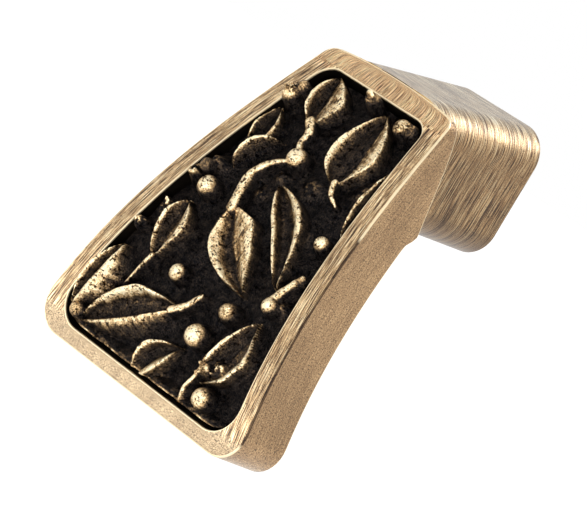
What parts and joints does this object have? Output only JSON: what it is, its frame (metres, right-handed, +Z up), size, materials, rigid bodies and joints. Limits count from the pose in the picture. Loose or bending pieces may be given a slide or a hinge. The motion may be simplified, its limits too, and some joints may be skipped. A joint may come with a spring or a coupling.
{
  "type": "finger pull",
  "caption": "Tapered, bent plate on a short mounting block, with a recessed panel of cast leaves and berries set in its face.",
  "frame": {"origin": "on the flat mounting face, on the centre line, level with the top edge of the front plate and above the screw hole", "axes": "+Z up the mounted pull, +Y out of the mounting face into the furniture, +X to the right as seen by the user"},
  "size_m": [0.0354, 0.032, 0.047],
  "materials": {
    "brushed_brass": "brushed, antiqued",
    "darkened_brass": "darkened, with polished high spots"
  },
  "bodies": {
    "root": {"pull_body": "brushed_brass", "relief_insert": "darkened_brass"}
  },
  "joints": []
}
